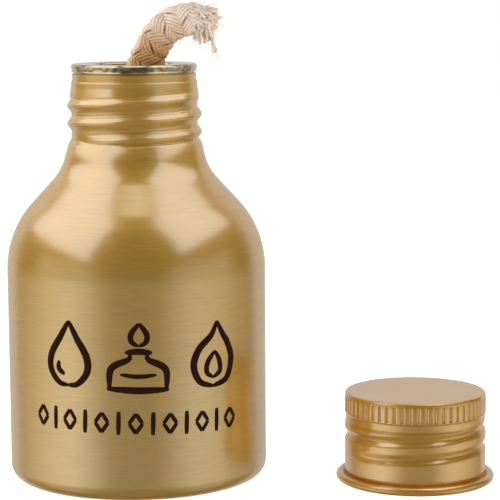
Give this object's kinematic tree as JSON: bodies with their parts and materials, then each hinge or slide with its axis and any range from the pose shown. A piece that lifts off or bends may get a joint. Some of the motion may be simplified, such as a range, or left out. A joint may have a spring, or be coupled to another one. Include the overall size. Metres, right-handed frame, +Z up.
{
  "type": "alcohol burner",
  "caption": "Pocket alcohol burner: metal screw-neck bottle, drop-in wick holder with tube, cotton rope wick, and a ribbed screw cap with liner lying beside it.",
  "frame": {"origin": "centre of the bottle's foot, on the table", "axes": "+Z up along the bottle's axis, +X towards the cap that lies beside the bottle, -Y towards the front"},
  "size_m": [0.0865, 0.046, 0.0848],
  "materials": {
    "bottle_aluminium": "gold anodised over fine horizontal brushing, satin",
    "plated_sheet": "bright nickel plate on pressed sheet",
    "tube_brass": "drawn brass, dull",
    "cotton_rope": "braided undyed cotton, frayed at the burning end",
    "cap_aluminium": "warm gold anodised, satin",
    "liner_foam": "white foamed polyethylene sealing disc"
  },
  "bodies": {
    "bottle": {"bottle": "bottle_aluminium"},
    "holder": {"wick_holder": "plated_sheet", "wick_tube": "tube_brass"},
    "wick": {"wick": "cotton_rope"},
    "cap": {"cap_shell": "cap_aluminium", "cap_liner": "liner_foam"}
  },
  "joints": [
    {"name": "holder_lift", "type": "slide", "parent": "bottle", "child": "holder", "axis": [0, 0, 1], "range_m": [0, 0.085]},
    {"name": "wick_slide", "type": "slide", "parent": "holder", "child": "wick", "axis": [0, 0, 1], "range_m": [0, 0.01]},
    {"name": "cap_lift", "type": "slide", "parent": "bottle", "child": "cap", "axis": [0, 0, 1], "range_m": [0, 0.1]}
  ]
}
